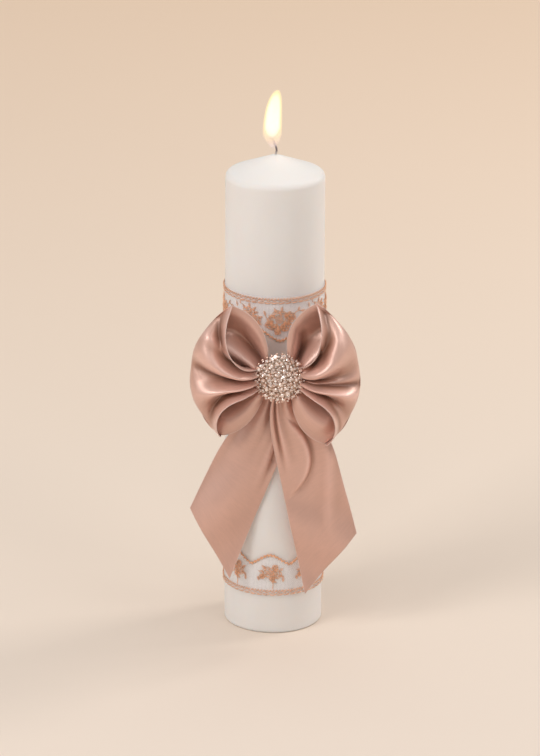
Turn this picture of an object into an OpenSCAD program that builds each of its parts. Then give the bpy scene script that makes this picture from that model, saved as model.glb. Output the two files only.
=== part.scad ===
// Unity candle: a wax pillar dressed with two lace bands, a satin bow and a rhinestone brooch.
// Frame: millimetres, +Z up, origin at the centre of the flat base. The bow faces -Y.

/* [Pillar] */
// Diameter of the wax pillar
pillar_d = 60; // [58:1:62]
// Height of the point of the cone top above the base
pillar_h = 299; // [290:1:310]
// Rise of the cone top above the shoulder
cone_rise = 12; // [9:1:16]
// Radius of the rounded shoulder
shoulder_r = 4; // [3:0.5:6]
// Radius of the rounded edge round the base
base_edge_r = 1.5; // [1:0.5:3]

/* [Wick and flame] */
// Diameter of the braided wick
wick_d = 2; // [1.5:0.1:2.4]
// Length of wick that stands out of the wax
wick_out = 7.5; // [5:0.5:8]
// Height of the flame
flame_h = 37.5; // [30:0.5:40]
// Width of the flame at its widest
flame_w = 11.5; // [9:0.5:12]

/* [Lace] */
// Height of the top edge of the upper band above the base
top_lace_z = 219; // [216:1:224]
// Height of the bottom edge of the lower band above the base
bottom_lace_z = 25; // [20:1:30]
// Diameter of the embroidered cords
cord_d = 0.9; // [0.7:0.1:1]
// Depth of the deep scallops of the upper band
top_scallop_depth = 17; // [12:1:18]
// Depth of the shallow scallops of the lower band
bottom_scallop_depth = 6.5; // [4:0.5:8]

/* [Bow] */
// Height of the middle of the bow above the base
bow_z = 171.5; // [168:0.5:175]
// Height of the longer tail's tip above the base
tail_tip_z = 29.4; // [27:0.2:36]
// Thickness that stands for the cloth
cloth_t = 0.6; // [0.4:0.1:0.8]
// Depth of the pleats in the loops
pleat = 2.2; // [1:0.1:3]

/* [Brooch] */
// Diameter over the outer ring of stones
brooch_d = 26.2; // [26:0.1:27]
// Diameter of one rhinestone
stone_d = 2.3; // [2:0.1:2.4]

/* [Hidden] */
$fn = 96;

pillar_r = pillar_d / 2;
shoulder_z = pillar_h - cone_rise;
cone_angle = atan(cone_rise / pillar_r);

// The cavity that the wick clip is cast into
clip_z = 3;
clip_r = 9;
clip_t = 0.5;
clip_neck_r = 2;
clip_neck_h = 5;
wick_gap = 0.05;

// The flame starts a little above the wax, leans with the draught and stays clear of the wick
flame_gap = 2;
flame_x = -2;
flame_lean = 5;
wick_clear = 1.6;

// Lace lies in layers on the wax: tape, net, then the embroidery
tape_in = pillar_r + 0.02;
tape_out = pillar_r + 0.16;
net_in = pillar_r + 0.2;
net_out = pillar_r + 0.45;
cord_r = cord_d / 2;
stitch_in = net_out + 0.05;
stitch_out = net_out + 0.6;
cord_path_r = stitch_in + cord_r;

top_repeats = 4;
top_phase = 6.7;
top_edge_mid = top_lace_z - 1.8;
top_cord_gap = 2.6;
top_tip_z = top_lace_z - 29;
bottom_repeats = 8;
bottom_phase = -3.5;
bottom_peak_z = bottom_lace_z + 27.6;
bottom_cord_gap = 2.8;

bow_x = 3.2;
knot_y = -pillar_r - 7;
knot_r = 5;
knot_half = 5.8;
gather_w = 7;
tail_spread = 50;
tail_fold = 1.1;
tail_fold_h = 75;
glue_r = 5;
loop_pinch_y = -pillar_r - 10;
loop_lean = 4.5;
loop_front = 24;
loop_back = 10;
front_flare = 5;
back_flare = 6;
back_pleat_share = 0.4;
pinch_half = 5;
brooch_z = bow_z + 1.5;
brooch_rim_y = -pillar_r - 16.5;
dome_r = 26.5;
plate_r = 13;
plate_t = 0.8;
stone_r = stone_d / 2;
setting_r = stone_r + 0.2;
setting_h = 1.5;
ring_step = (brooch_d / 2 - setting_r) / 4;

wax = [0.95, 0.93, 0.9];
thread = [0.8, 0.57, 0.45];
tulle = [0.9, 0.88, 0.87];
satin = [0.74, 0.56, 0.5];
metal = [0.78, 0.7, 0.64];
crystal = [0.93, 0.93, 0.95];

// ---------- small helpers ----------

function unit(v) = v / norm(v);
function mix(a, b, k) = a + (b - a) * k;

// A point on a cylinder round the pillar's axis; angle 0 faces -Y and grows towards +X
function on_round(r, angle, z) = [r * sin(angle), -r * cos(angle), z];

module place_on_round(r, angle, z) {
    rotate([0, 0, angle]) translate([0, -r, z]) rotate([90, 0, 0]) children();
}

// Triangles of a closed solid between two grids of ni by nj points; it may close on itself in i
function shell_faces(ni, nj, ring) = let (n = ni * nj, last = ring ? ni - 1 : ni - 2) concat(
    [for (i = [0:last], j = [0:nj - 2], k = [0, 1])
        let (a = i * nj + j, b = ((i + 1) % ni) * nj + j)
        k == 0 ? [a, b + 1, b] : [a, a + 1, b + 1]],
    [for (i = [0:last], j = [0:nj - 2], k = [0, 1])
        let (a = n + i * nj + j, b = n + ((i + 1) % ni) * nj + j)
        k == 0 ? [a, b, b + 1] : [a, b + 1, a + 1]],
    [for (i = [0:last], j = [0, nj - 1], k = [0, 1])
        let (a = i * nj + j, b = ((i + 1) % ni) * nj + j,
             f = k == 0 ? [a, b, b + n] : [a, b + n, a + n])
        j == 0 ? f : [f[2], f[1], f[0]]],
    ring ? [] : [for (i = [0, ni - 1], j = [0:nj - 2], k = [0, 1])
        let (a = i * nj + j, f = k == 0 ? [a, a + n, a + n + 1] : [a, a + n + 1, a + 1])
        i == 0 ? f : [f[2], f[1], f[0]]]);

module shell_between(outer, inner, ring = false) {
    ni = len(outer);
    nj = len(outer[0]);
    points = concat([for (row = outer) each row], [for (row = inner) each row]);
    polyhedron(points = points, faces = shell_faces(ni, nj, ring));
}

// Normals of a grid of points, from its neighbours
function grid_normal(g, i, j) = let (ni = len(g) - 1, nj = len(g[0]) - 1)
    unit(cross(g[min(i + 1, ni)][j] - g[max(i - 1, 0)][j], g[i][min(j + 1, nj)] - g[i][max(j - 1, 0)]));
function offset_grid(g, d) = [for (i = [0:len(g) - 1])
    [for (j = [0:len(g[0]) - 1]) g[i][j] + d * grid_normal(g, i, j)]];

module cloth(grid) {
    shell_between(offset_grid(grid, cloth_t / 2), offset_grid(grid, -cloth_t / 2));
}

// A round tube along a path; each path entry is [point, first side axis, second side axis]
function tube_rings(path, r, sides) = [for (p = path) [for (k = [0:sides - 1])
    p[0] + r * cos(360 * k / sides) * p[1] + r * sin(360 * k / sides) * p[2]]];

module closed_tube(path, r, sides) {
    rings = tube_rings(path, r, sides);
    n = len(rings);
    points = [for (row = rings) each row];
    faces = [for (i = [0:n - 1], k = [0:sides - 1], t = [0, 1])
        let (a = i * sides + k, a2 = i * sides + (k + 1) % sides,
             b = ((i + 1) % n) * sides + k, b2 = ((i + 1) % n) * sides + (k + 1) % sides)
        t == 0 ? [a, b, b2] : [a, b2, a2]];
    polyhedron(points = points, faces = faces);
}

module open_tube(path, r, sides) {
    rings = tube_rings(path, r, sides);
    n = len(rings);
    points = [for (row = rings) each row];
    walls = [for (i = [0:n - 2], k = [0:sides - 1], t = [0, 1])
        let (a = i * sides + k, a2 = i * sides + (k + 1) % sides, b = a + sides, b2 = a2 + sides)
        t == 0 ? [a, b, b2] : [a, b2, a2]];
    ends = [for (k = [1:sides - 2], t = [0, 1])
        t == 0 ? [0, k, k + 1] : (n - 1) * sides * [1, 1, 1] + [0, k + 1, k]];
    polyhedron(points = points, faces = concat(walls, ends));
}

// ---------- pillar, wick and flame ----------

module pillar_outline() {
    arc_z = shoulder_z + shoulder_r * tan(cone_angle) - shoulder_r / cos(cone_angle);
    arc_x = pillar_r - shoulder_r;
    polygon([[0, 0], [pillar_r - base_edge_r, 0], [pillar_r, base_edge_r], [pillar_r, arc_z],
             [arc_x + shoulder_r * sin(cone_angle), arc_z + shoulder_r * cos(cone_angle)],
             [0, pillar_h]]);
    translate([arc_x, arc_z]) circle(r = shoulder_r);
    translate([pillar_r - base_edge_r, base_edge_r]) circle(r = base_edge_r);
}

module clip_space(grow) {
    translate([0, 0, clip_z - grow]) cylinder(r = clip_r + grow, h = clip_t + 2 * grow);
    translate([0, 0, clip_z]) cylinder(r = clip_neck_r + grow, h = clip_neck_h + grow);
}

module pillar() {
    color(wax) difference() {
        rotate_extrude() pillar_outline();
        clip_space(wick_gap);
        translate([0, 0, clip_z]) cylinder(d = wick_d + 2 * wick_gap, h = pillar_h);
    }
}

// The burnt end leans and curls to one side in a flat S
function wick_bend(k) = [1.2 * sin(200 * k) * (1 - k) - 1.1 * k * k, 0, wick_out * k];

module wick() {
    steps = 10;
    color([0.25, 0.22, 0.2]) {
        translate([0, 0, clip_z + 1]) cylinder(d = wick_d, h = pillar_h - clip_z - 1);
        translate([0, 0, pillar_h]) open_tube(
            [for (i = [0:steps]) [wick_bend(i / steps), [1, 0, 0], [0, 1, 0]]],
            wick_d / 2, 16);
    }
}

module wick_clip() {
    color("silver") difference() {
        clip_space(0);
        translate([0, 0, clip_z + 1]) cylinder(d = wick_d + 2 * wick_gap, h = clip_neck_h);
    }
}

// Half width of the flame at height k of its length: it fills out fast and narrows to the tip
function flame_half(k) = flame_w / 2 * min(1, pow(k / 0.16, 0.4)) * sqrt(1 - pow(k, 4));

module flame() {
    steps = 20;
    side = [for (i = [1:steps - 1]) [flame_half(i / steps), flame_h * i / steps]];
    color([1, 0.85, 0.55]) difference() {
        translate([flame_x, 0, pillar_h + flame_gap]) rotate([0, flame_lean, 0])
            rotate_extrude() polygon(concat([[0, 0]], side, [[0, flame_h]]));
        translate([-1, 0, pillar_h]) cylinder(r = wick_d / 2 + wick_clear, h = wick_out + 0.4);
    }
}

// ---------- lace ----------

// Height of the upper band's lower edge: straight sides that meet in soft points
function top_edge(angle) = let (
    step = 360 / top_repeats,
    off = (angle - top_phase) - step * round((angle - top_phase) / step),
    k = abs(off) / (step / 2))
    top_tip_z + top_scallop_depth * (pow(k * k + 0.02, 0.5) - 0.14) * (1.14 - 0.14 * k * k);

// Height of the lower band's upper edge: round humps that meet in soft valleys
function bottom_edge(angle) = let (
    step = 360 / bottom_repeats,
    k = ((angle - bottom_phase) - step * round((angle - bottom_phase) / step)) / (step / 2),
    drop = (pow(abs(k), 1.7) + (1 - cos(180 * k)) / 2) / 2)
    bottom_peak_z - bottom_scallop_depth * drop;

module net_band(low, high) {
    outer = [for (a = [0:3.75:359]) [on_round(net_out, a, low(a)), on_round(net_out, a, high(a))]];
    inner = [for (a = [0:3.75:359]) [on_round(net_in, a, low(a)), on_round(net_in, a, high(a))]];
    shell_between(inner, outer, ring = true);
}

module straight_cords(z1, z2) {
    rotate_extrude() translate([cord_path_r, z1]) circle(r = cord_r, $fn = 32);
    rotate_extrude() translate([cord_path_r, z2]) circle(r = cord_r, $fn = 32);
}

module ladder(z1, z2, count) {
    for (k = [0:count - 1])
        rotate([0, 0, 360 * k / count]) translate([0, -cord_path_r, z1 + cord_r + 0.02])
            rotate([0, 20, 0]) cylinder(r = 0.22, h = z2 - z1 - 2 * cord_r - 0.1, $fn = 16);
}

module edge_cord(edge, sides = 6, step = 4) {
    path = [for (a = [0:step:359.9]) let (
        here = on_round(cord_path_r, a, edge(a)),
        ahead = on_round(cord_path_r, a + 0.5, edge(a + 0.5)),
        out = [sin(a), -cos(a), 0])
        [here, out, unit(cross(unit(ahead - here), out))]];
    closed_tube(path, cord_r, sides);
}

// An open rose: a ring of round petals over a centre
module rose(size) {
    petals = 5;
    t = stitch_out - stitch_in;
    cylinder(r = size * 0.45, h = t * 1.3, $fn = 32);
    for (k = [0:petals - 1])
        rotate([0, 0, 360 * k / petals + 18]) translate([size * 0.58, 0, 0])
            cylinder(r = size * 0.4, h = t, $fn = 32);
}

// A pointed leaf, cut where two circles cross
module leaf(length, width) {
    bow_r = (length * length / 4 + width * width / 4) / width;
    intersection() {
        translate([0, bow_r - width / 2, 0]) cylinder(r = bow_r, h = stitch_out - stitch_in);
        translate([0, width / 2 - bow_r, 0]) cylinder(r = bow_r, h = stitch_out - stitch_in);
    }
}

module bud(r) {
    cylinder(r = r, h = stitch_out - stitch_in, $fn = 24);
}

module top_lace_net() {
    color(tulle) net_band(function (a) top_edge(a), function (a) top_lace_z);
}

module top_lace_border() {
    color(thread) straight_cords(top_edge_mid - top_cord_gap, top_edge_mid);
}

module top_lace_ladder() {
    color(thread) ladder(top_edge_mid - top_cord_gap, top_edge_mid, 72);
}

module top_lace_scallop_cord() {
    color(thread) edge_cord(function (a) top_edge(a));
}

module top_lace_roses() {
    color(thread) for (k = [0:top_repeats - 1])
        place_on_round(stitch_in, top_phase - 1.5 + 360 / top_repeats * k, top_tip_z + 14.5) rose(5);
}

// One repeat of the vine: leaves and buds beside and below the rose, and a spray over each valley
module top_vine() {
    tip = top_tip_z;
    for (s = [-1, 1]) {
        place_on_round(stitch_in, s * 13.5, tip + 12) rotate([0, 0, s * 50]) leaf(4.6, 1.8);
        place_on_round(stitch_in, s * 15.5, tip + 18) rotate([0, 0, 90 - s * 25]) leaf(4.4, 1.4);
        place_on_round(stitch_in, s * 21, tip + 15) rotate([0, 0, s * 30]) leaf(4, 1.6);
        place_on_round(stitch_in, s * 23, tip + 20) bud(1.1);
        place_on_round(stitch_in, s * 29, tip + 18) rotate([0, 0, 90 - s * 35]) leaf(4.6, 1.6);
        place_on_round(stitch_in, s * 34, tip + 21.5) bud(1.3);
    }
    place_on_round(stitch_in, -4, tip + 6) rotate([0, 0, 60]) leaf(4.2, 1.8);
    place_on_round(stitch_in, 2, tip + 5.5) bud(1.5);
    place_on_round(stitch_in, 0, tip + 22) rotate([0, 0, 70]) leaf(3.6, 1.4);
    place_on_round(stitch_in, 45, tip + 20) rose(2.4);
}

module top_lace_sprigs() {
    color(thread) for (k = [0:top_repeats - 1])
        rotate([0, 0, top_phase + 360 / top_repeats * k]) top_vine();
}

module top_lace_tape() {
    color("white") rotate([0, 0, 84]) rotate_extrude(angle = 12)
        translate([tape_in, top_lace_z - 12]) square([tape_out - tape_in, 11]);
}

module bottom_lace_net() {
    color(tulle) net_band(function (a) bottom_lace_z, function (a) bottom_edge(a));
}

module bottom_lace_border() {
    low = bottom_lace_z + cord_r + 0.3;
    color(thread) straight_cords(low, low + bottom_cord_gap);
}

module bottom_lace_ladder() {
    low = bottom_lace_z + cord_r + 0.3;
    color(thread) ladder(low, low + bottom_cord_gap, 64);
}

module bottom_lace_scallop_cord() {
    color(thread) edge_cord(function (a) bottom_edge(a));
}

module bottom_lace_roses() {
    color(thread) for (k = [0:bottom_repeats - 1])
        rotate([0, 0, bottom_phase + 360 / bottom_repeats * k]) {
            place_on_round(stitch_in, -3.5, bottom_lace_z + 16.4) rose(3.6);
            place_on_round(stitch_in, 7.4, bottom_lace_z + 14.8) rose(2.5);
        }
}

module bottom_vine() {
    foot = bottom_lace_z;
    place_on_round(stitch_in, -3, foot + 8) rotate([0, 0, 95]) leaf(4.4, 1.3);
    place_on_round(stitch_in, -13.5, foot + 18) rotate([0, 0, 140]) leaf(3.6, 1.5);
    place_on_round(stitch_in, -15, foot + 13.5) rotate([0, 0, 100]) leaf(3.4, 1.3);
    place_on_round(stitch_in, 1.5, foot + 22.5) rotate([0, 0, 20]) leaf(3.2, 1.3);
    place_on_round(stitch_in, 14.5, foot + 13) rotate([0, 0, 60]) leaf(3.4, 1.4);
    place_on_round(stitch_in, 15.5, foot + 17.5) bud(0.9);
    place_on_round(stitch_in, 22, foot + 10) rotate([0, 0, 80]) leaf(3, 1.2);
}

module bottom_lace_sprigs() {
    color(thread) for (k = [0:bottom_repeats - 1])
        rotate([0, 0, bottom_phase + 360 / bottom_repeats * k]) bottom_vine();
}

module bottom_lace_tape() {
    color("white") rotate([0, 0, 84]) rotate_extrude(angle = 12)
        translate([tape_in, bottom_lace_z + 1]) square([tape_out - tape_in, 18]);
}

// ---------- bow loops ----------
// A loop is a fan of wide satin. It leaves the pinch as the front layer, turns at the outer fold and comes
// back to the pinch as the back layer. s is the share of the way out, v runs across the satin from -1 at
// the lower selvedge to 1 at the upper one. Turning angles are from the level, upwards.
// [side, pinch x, middle turn, half turn, reach at the lower tip, middle and upper tip,
//  how closed the front starts above and its power, the same below]
left_loop = [-1, -3.7, 6.5, 58.5, 45.5, 46.8, 51, 0.28, 1.5, 0.42, 2.3];
right_loop = [1, 10.2, 5, 68, 46.3, 41.2, 50, 0.5, 1.3, 0.3, 1.4];

function loop_reach(L, v) = L[5] + (L[6] - L[4]) / 2 * v + ((L[6] + L[4]) / 2 - L[5]) * v * v;
function front_close(L, s, v) = mix(L[9] + (1 - L[9]) * pow(s, L[10]), L[7] + (1 - L[7]) * pow(s, L[8]),
                                    (1 + v) / 2);
function back_close(s) = 1 + 0.4 * (1 - s * s);

// a runs from -90 at the pinch in front, through 0 at the outer fold, to 90 at the pinch behind
function loop_point(L, a, v) = let (
    s = cos(a),
    f = sin(abs(a)) * s,
    front = a < 0,
    turn = (L[2] + L[3] * v) * (front ? front_close(L, s, v) : back_close(s)),
    reach = s * loop_reach(L, v),
    wave = cos(360 * (v + 0.27) / 0.66) * (1 - s * s) * min(1, s / 0.3),
    flare = pow(v, 4) * f,
    belly = front
        ? -loop_front * f - pleat * wave - front_flare * flare
        : loop_back * f + back_pleat_share * pleat * wave - back_flare * flare)
    [L[1] + L[0] * reach * cos(turn),
     loop_pinch_y - loop_lean * s + belly,
     bow_z + v * pinch_half * (1 - s) + reach * sin(turn)];

module bow_loop(L) {
    along = 26;
    across = 20;
    end = 82;
    grid = [for (i = [0:along]) [for (j = [0:across])
        loop_point(L, L[0] * (-end + 2 * end * i / along), -1 + 2 * j / across)]];
    color(satin) cloth(grid);
}

module bow_loop_left() {
    bow_loop(left_loop);
}

module bow_loop_right() {
    bow_loop(right_loop);
}

// ---------- bow tails ----------
// A tail is straight-edged satin that is gathered at the knot and cut on a slant. Its two edges are
// straight lines down to their ends, and above them they close in to the gathers.
// [outer end, inner end, lean of the outer edge, lean of the inner edge, top x, y at the top, y at the foot]
left_tail = [[-50.6, tail_tip_z + 54.4], [-26.5, tail_tip_z + 9], 24.8, 21.2, 0, -33.6, -34.2];
right_tail = [[50.6, tail_tip_z + 39], [19.6, tail_tip_z], -14.3, -11.6, 6.5, -36.4, -35.4];

function tail_point(T, t, u) = let (
    foot = mix(T[0], T[1], u),
    top_z = bow_z - knot_r - 0.8,
    z = mix(top_z, foot[1], t),
    straight_x = foot[0] + (z - foot[1]) * tan(mix(T[2], T[3], u)),
    spread = 1 - pow(1 - min(1, (top_z - z) / tail_spread), 2.4),
    x = mix(T[4] + (u - 0.5) * gather_w * sign(T[2]), straight_x, spread),
    fold = tail_fold * cos(360 * u * 1.5 + 40) * pow(1 - min(1, (top_z - z) / tail_fold_h), 1.5))
    [x, mix(T[5], T[6], t) + fold, z];

module bow_tail(T) {
    down = 22;
    across = 10;
    grid = [for (i = [0:down]) [for (j = [0:across]) tail_point(T, i / down, j / across)]];
    flip = T[2] > 0 ? grid : [for (row = grid) [for (j = [across:-1:0]) row[j]]];
    color(satin) cloth(flip);
}

module bow_tail_left() {
    bow_tail(left_tail);
}

module bow_tail_right() {
    bow_tail(right_tail);
}

// ---------- middle of the bow ----------

module bow_knot() {
    color(satin) translate([bow_x, knot_y, bow_z]) rotate([0, 90, 0])
        cylinder(r = knot_r - 0.5, h = 2 * knot_half, center = true);
}

module bow_gather_thread() {
    turns = 3;
    pitch = 1.1;
    color("white") translate([bow_x, knot_y, bow_z]) rotate([0, 90, 0])
        for (k = [0:turns - 1])
            translate([0, 0, (k - 1) * pitch]) rotate_extrude()
                translate([knot_r - 0.28, 0]) circle(r = 0.2, $fn = 16);
}

module bow_glue_pad() {
    color([0.95, 0.93, 0.85]) difference() {
        translate([bow_x, -pillar_r + 2, bow_z]) rotate([90, 0, 0]) cylinder(r = glue_r, h = 6);
        cylinder(r = pillar_r + 0.02, h = pillar_h);
        translate([bow_x, knot_y, bow_z]) rotate([0, 90, 0])
            cylinder(r = knot_r + 0.02, h = 40, center = true);
    }
}

// ---------- brooch ----------

// Puts a piece on the brooch's dome, at a distance from its middle and an angle round it, facing out
module on_dome(r, angle) {
    tilt = asin(r / dome_r);
    translate([bow_x, brooch_rim_y + sqrt(dome_r * dome_r - plate_r * plate_r), brooch_z])
        rotate([0, angle, 0]) rotate([tilt, 0, 0]) rotate([90, 0, 0]) translate([0, 0, dome_r]) children();
}

module brooch_shank() {
    reach = -brooch_rim_y + dome_r - sqrt(dome_r * dome_r - plate_r * plate_r) + knot_y - knot_r;
    color(metal) translate([bow_x, knot_y - knot_r, brooch_z]) rotate([90, 0, 0])
        cylinder(r = 1.5, h = reach - plate_t - 0.1, $fn = 32);
}

module brooch_plate() {
    color(metal) translate([bow_x, brooch_rim_y + sqrt(dome_r * dome_r - plate_r * plate_r), brooch_z])
        rotate([90, 0, 0]) intersection() {
            difference() {
                sphere(r = dome_r);
                sphere(r = dome_r - plate_t);
            }
            cylinder(r = plate_r, h = dome_r + 1);
        }
}

module setting() {
    difference() {
        translate([0, 0, 0.05]) cylinder(r = setting_r, h = setting_h, $fn = 24);
        translate([0, 0, 0.5]) cylinder(r1 = 0.2, r2 = stone_r + 0.02, h = 0.75, $fn = 24);
        translate([0, 0, 1.24]) cylinder(r = stone_r + 0.02, h = 1, $fn = 24);
    }
}

module stone() {
    translate([0, 0, 0.52]) cylinder(r1 = 0.2, r2 = stone_r, h = 0.74, $fn = 24);
    translate([0, 0, 1.26]) cylinder(r = stone_r, h = 0.2, $fn = 24);
    translate([0, 0, 1.46]) cylinder(r1 = stone_r, r2 = stone_r * 0.6, h = 0.5, $fn = 24);
}

module ring_of(ring) {
    count = ring == 0 ? 1 : 6 * ring;
    for (k = [0:count - 1]) on_dome(ring * ring_step, 360 * (k + ring / 2) / count) children();
}

module brooch_settings() {
    color(metal) for (ring = [0:4]) ring_of(ring) setting();
}

module brooch_stone_centre() {
    color(crystal) ring_of(0) stone();
}

module brooch_stones_inner() {
    color(crystal) for (ring = [1:2]) ring_of(ring) stone();
}

module brooch_stones_outer() {
    color(crystal) for (ring = [3:4]) ring_of(ring) stone();
}

module brooch_rim_beads() {
    beads = 30;
    color(metal) for (k = [0:beads - 1])
        on_dome(brooch_d / 2 + 0.75 + 0.35 * (k % 2), 360 * k / beads) sphere(r = 0.65, $fn = 16);
}

pillar();
wick();
wick_clip();
flame();
top_lace_net();
top_lace_border();
top_lace_ladder();
top_lace_scallop_cord();
top_lace_roses();
top_lace_sprigs();
top_lace_tape();
bottom_lace_net();
bottom_lace_border();
bottom_lace_ladder();
bottom_lace_scallop_cord();
bottom_lace_roses();
bottom_lace_sprigs();
bottom_lace_tape();
bow_loop_left();
bow_loop_right();
bow_tail_left();
bow_tail_right();
bow_knot();
bow_gather_thread();
bow_glue_pad();
brooch_shank();
brooch_plate();
brooch_settings();
brooch_stone_centre();
brooch_stones_inner();
brooch_stones_outer();
brooch_rim_beads();
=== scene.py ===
# %% [markdown]
# # A unity candle dressed with lace, satin and a brooch
# The wax pillar, the wick clip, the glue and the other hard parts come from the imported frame, in metres.
# This lesson builds the soft and fine work round them: the satin bow, the embroidered lace, the cut
# stones, the charred wick and the flame, and then a material for every one of them.

# %% Load the frame
import math
import random

import bmesh
import bpy
from mathutils import Matrix, Vector


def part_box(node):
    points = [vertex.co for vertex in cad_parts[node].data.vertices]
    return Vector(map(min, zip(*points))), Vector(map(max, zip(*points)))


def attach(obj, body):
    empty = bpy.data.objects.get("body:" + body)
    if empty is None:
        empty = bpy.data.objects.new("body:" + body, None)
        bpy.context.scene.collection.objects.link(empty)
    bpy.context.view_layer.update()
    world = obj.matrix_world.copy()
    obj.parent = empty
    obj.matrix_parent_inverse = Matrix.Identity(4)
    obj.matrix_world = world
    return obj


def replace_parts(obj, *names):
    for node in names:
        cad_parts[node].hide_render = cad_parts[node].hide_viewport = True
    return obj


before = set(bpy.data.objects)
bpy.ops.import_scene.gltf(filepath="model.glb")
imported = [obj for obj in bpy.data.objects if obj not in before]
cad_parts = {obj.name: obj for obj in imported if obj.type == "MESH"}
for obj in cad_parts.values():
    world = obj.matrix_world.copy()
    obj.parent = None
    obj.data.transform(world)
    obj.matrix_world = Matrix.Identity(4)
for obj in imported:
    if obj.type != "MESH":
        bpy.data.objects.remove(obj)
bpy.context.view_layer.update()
MM = 0.001
random.seed(20)

pillar_low, pillar_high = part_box("pillar")
PILLAR_R = (pillar_high[0] - pillar_low[0]) / 2
PILLAR_TOP = pillar_high[2]
print("pillar", round(PILLAR_R / MM, 1), "mm radius,", round(PILLAR_TOP / MM, 1), "mm tall")

# %% [markdown]
# ## The camera
# A long lens from two and a half metres keeps the pillar's sides nearly parallel. The camera looks about
# twenty degrees down, so the cone top and the open mouths of the bow's loops both show.

# %% Place the camera
CAMERA_BACK = 2.5
CAMERA_HEIGHT = 1.06285
CAMERA_DOWN = math.radians(19.936)
CAMERA_YAW = math.radians(-0.0584)
CAMERA_ROLL = math.radians(0.3198)
CAMERA_LENS = 207.95


def make_camera():
    forward = Vector((math.sin(CAMERA_YAW) * math.cos(CAMERA_DOWN),
                      math.cos(CAMERA_YAW) * math.cos(CAMERA_DOWN), -math.sin(CAMERA_DOWN)))
    right = forward.cross(Vector((0, 0, 1))).normalized()
    up = right.cross(forward)
    tilted_right = right * math.cos(CAMERA_ROLL) + up * math.sin(CAMERA_ROLL)
    tilted_up = up * math.cos(CAMERA_ROLL) - right * math.sin(CAMERA_ROLL)
    data = bpy.data.cameras.new("camera")
    data.lens = CAMERA_LENS
    data.clip_end = 50
    camera = bpy.data.objects.new("camera", data)
    turn = Matrix((tilted_right, tilted_up, -forward)).transposed().to_4x4()
    camera.matrix_world = Matrix.Translation((0, -CAMERA_BACK, CAMERA_HEIGHT)) @ turn
    bpy.context.collection.objects.link(camera)
    bpy.context.scene.camera = camera


make_camera()
bpy.context.scene.view_settings.view_transform = "Standard"
print("camera", CAMERA_LENS, "mm lens,", CAMERA_BACK, "m back")

# %% [markdown]
# ## Small tools for building materials
# Every material is a tree of shader nodes. Writing `tree.nodes.new` and `tree.links.new` again and again
# hides the idea, so one helper makes a node with its settings and wires in one go.

# %% Node helpers
def new_node(tree, kind, inputs=(), **settings):
    """Adds a node. settings are its own properties; inputs maps a socket to a value or to another socket."""
    made = tree.nodes.new(kind)
    for key, value in settings.items():
        setattr(made, key, value)
    for key, value in dict(inputs).items():
        if isinstance(value, bpy.types.NodeSocket):
            tree.links.new(value, made.inputs[key])
        else:
            made.inputs[key].default_value = value
    return made


def math_node(tree, operation, first, second=0.0, third=0.0):
    return new_node(tree, "ShaderNodeMath", {0: first, 1: second, 2: third}, operation=operation).outputs[0]


def ramp_node(tree, factor, stops):
    """A colour ramp from a list of (position, (r, g, b)) stops."""
    made = new_node(tree, "ShaderNodeValToRGB", {0: factor})
    ramp = made.color_ramp
    while len(ramp.elements) < len(stops):
        ramp.elements.new(0.5)
    for element, (position, colour) in zip(ramp.elements, stops):
        element.position = position
        element.color = (*colour, 1.0)
    return made.outputs[0]


def mix_colour(tree, factor, first, second, blend="MIX"):
    made = new_node(tree, "ShaderNodeMix", data_type="RGBA", blend_type=blend)
    for socket, value in ((made.inputs[0], factor), (made.inputs[6], first), (made.inputs[7], second)):
        if isinstance(value, bpy.types.NodeSocket):
            tree.links.new(value, socket)
        else:
            socket.default_value = value if socket == made.inputs[0] else (*value, 1.0)
    return made.outputs[2]


def new_material(name, **shader_values):
    """A material with one Principled shader; returns the material, its tree and the shader."""
    material = bpy.data.materials.new(name)
    material.use_nodes = True
    tree = material.node_tree
    tree.nodes.clear()
    shader = tree.nodes.new("ShaderNodeBsdfPrincipled")
    output = tree.nodes.new("ShaderNodeOutputMaterial")
    tree.links.new(shader.outputs[0], output.inputs[0])
    for key, value in shader_values.items():
        shader.inputs[key.replace("_", " ")].default_value = value
    return material, tree, shader


def object_place(tree):
    return new_node(tree, "ShaderNodeTexCoord").outputs["Object"]


def new_group(name, inputs, outputs):
    """An empty shader node group with named sockets; returns it with its input and output nodes."""
    group = bpy.data.node_groups.new(name, "ShaderNodeTree")
    for label, kind, value in inputs:
        socket = group.interface.new_socket(label, in_out="INPUT", socket_type=kind)
        if value is not None:
            socket.default_value = value
    for label, kind in outputs:
        group.interface.new_socket(label, in_out="OUTPUT", socket_type=kind)
    return group, group.nodes.new("NodeGroupInput"), group.nodes.new("NodeGroupOutput")


def use_group(tree, group, **inputs):
    made = tree.nodes.new("ShaderNodeGroup")
    made.node_tree = group
    for key, value in inputs.items():
        socket = made.inputs[key.replace("_", " ")]
        if isinstance(value, bpy.types.NodeSocket):
            tree.links.new(value, socket)
        else:
            socket.default_value = value
    return made

# %% [markdown]
# ## Two effects that several finishes share
# *Uneven tone* drifts a colour lighter and darker, as dyed and cast things do. *Fine grain* gives a small
# bumpy normal. Both are node groups, so that satin, thread, wax and metal can each use them at their own
# scale.

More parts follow.
